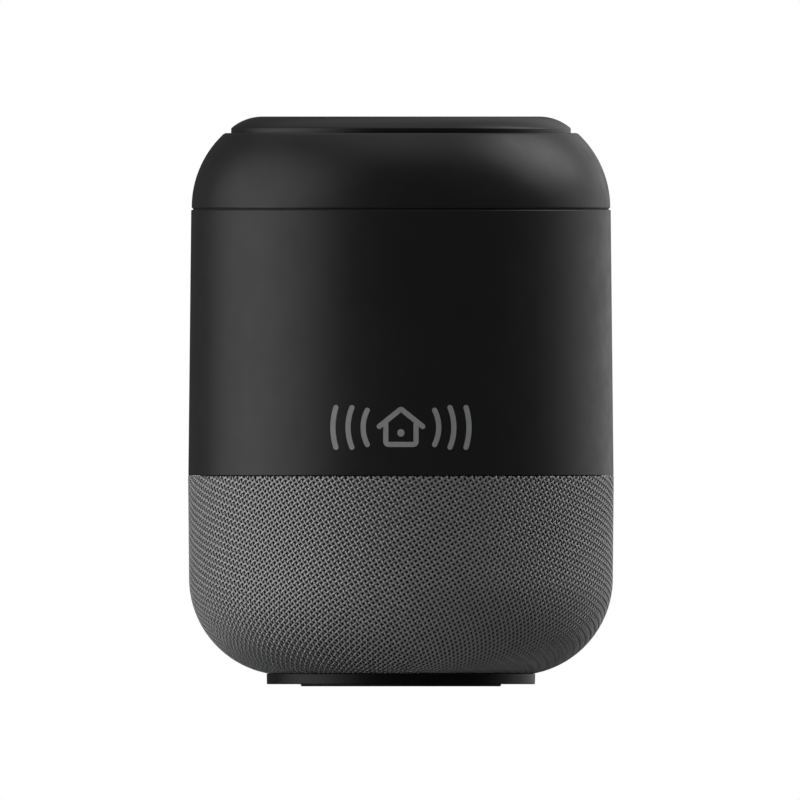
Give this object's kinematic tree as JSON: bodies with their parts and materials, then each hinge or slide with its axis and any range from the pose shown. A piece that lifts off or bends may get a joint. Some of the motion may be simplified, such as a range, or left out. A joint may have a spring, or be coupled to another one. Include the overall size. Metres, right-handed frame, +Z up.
{
  "type": "smart home hub",
  "caption": "Round tabletop smart home hub with a cloth-wrapped speaker band, plain plastic body, raised touch-button control disc, rear ports and a down-firing speaker inside.",
  "frame": {"origin": "centre of the rubber foot's underside, on the surface that the hub stands on", "axes": "+Z up along the body's axis; the plain front faces -Y and the port row faces +Y; +X is to the right seen from the front"},
  "size_m": [0.09, 0.09, 0.1206],
  "materials": {
    "body_plastic": "fine satin moulded ABS",
    "panel_plastic": "satin soft-touch moulding",
    "rubber": "matt moulded rubber",
    "cloth": "plain-weave polyester speaker cloth",
    "inner_plastic": "moulded ABS, unpainted",
    "screw_steel": "zinc-plated",
    "plate_steel": "plated stamping",
    "copper": "copper wire and flex",
    "circuit_board": "green solder mask",
    "chip": "epoxy package",
    "connector": "nylon header",
    "cell_wrap": "shrink-wrapped cell",
    "lamp": "frosted clear acrylic",
    "paper": "pressed paper cone",
    "ferrite": "sintered ferrite",
    "foam": "closed-cell foam",
    "lead": "insulated wire"
  },
  "bodies": {
    "housing": {"foot_pad": "rubber", "base_plate": "panel_plastic", "base_screws": "screw_steel", "grille_basket": "inner_plastic", "grille_cloth": "cloth", "body_sleeve": "body_plastic", "shoulder_ring": "body_plastic", "shoulder_screws": "screw_steel", "control_panel": "panel_plastic", "status_light_pipe": "lamp", "port_bezel": "panel_plastic", "io_board": "circuit_board", "io_board_screws": "screw_steel", "usb_c_socket": "plate_steel", "aux_jack": "chip", "power_switch_body": "plate_steel", "pairing_tact_switch": "plate_steel", "io_ribbon": "copper", "sound_deflector": "inner_plastic", "deflector_screws": "screw_steel", "speaker_baffle": "inner_plastic", "baffle_screws": "screw_steel", "baffle_gasket": "foam", "driver_basket": "plate_steel", "driver_surround": "rubber", "driver_spider": "paper", "driver_top_plate": "plate_steel", "driver_magnet": "ferrite", "driver_yoke": "plate_steel", "driver_terminals": "copper", "driver_screws": "screw_steel", "acoustic_chamber": "inner_plastic", "speaker_lead": "lead", "battery_holder": "inner_plastic", "battery_cells": "cell_wrap", "battery_lead": "lead", "holder_screws": "screw_steel", "main_board": "circuit_board", "processor_chips": "chip", "rf_shield_can": "plate_steel", "thermal_pad": "foam", "board_connectors": "connector", "wifi_antennas": "copper", "control_board": "circuit_board", "control_board_screws": "screw_steel", "tact_switches": "plate_steel", "microphones": "plate_steel", "status_led": "lamp", "control_ribbon": "copper"},
    "play": {"play_button": "panel_plastic"},
    "volume_up": {"volume_up_button": "panel_plastic"},
    "volume_down": {"volume_down_button": "panel_plastic"},
    "mic_mute": {"mic_mute_button": "panel_plastic"},
    "pairing": {"pairing_button": "panel_plastic"},
    "switch_knob": {"power_switch_knob": "panel_plastic"},
    "cone": {"driver_cone": "paper", "dust_cap": "paper", "voice_coil_former": "copper", "voice_coil_winding": "copper"}
  },
  "joints": [
    {"name": "play_press", "type": "slide", "parent": "housing", "child": "play", "axis": [0, 0, -1], "range_m": [0, 0.0004], "stiffness_N_per_m": 400},
    {"name": "volume_up_press", "type": "slide", "parent": "housing", "child": "volume_up", "axis": [0, 0, -1], "range_m": [0, 0.0004], "stiffness_N_per_m": 400},
    {"name": "volume_down_press", "type": "slide", "parent": "housing", "child": "volume_down", "axis": [0, 0, -1], "range_m": [0, 0.0004], "stiffness_N_per_m": 400},
    {"name": "mic_mute_press", "type": "slide", "parent": "housing", "child": "mic_mute", "axis": [0, 0, -1], "range_m": [0, 0.0004], "stiffness_N_per_m": 400},
    {"name": "pairing_press", "type": "slide", "parent": "housing", "child": "pairing", "axis": [0, -1, 0], "range_m": [0, 0.0004], "stiffness_N_per_m": 400},
    {"name": "power_switch_slide", "type": "slide", "parent": "housing", "child": "switch_knob", "axis": [1, 0, 0], "range_m": [0, 0.002]},
    {"name": "cone_excursion", "type": "slide", "parent": "housing", "child": "cone", "axis": [0, 0, -1], "range_m": [-0.0015, 0.0015], "stiffness_N_per_m": 1500, "deforming": ["driver_surround", "driver_spider"]}
  ]
}
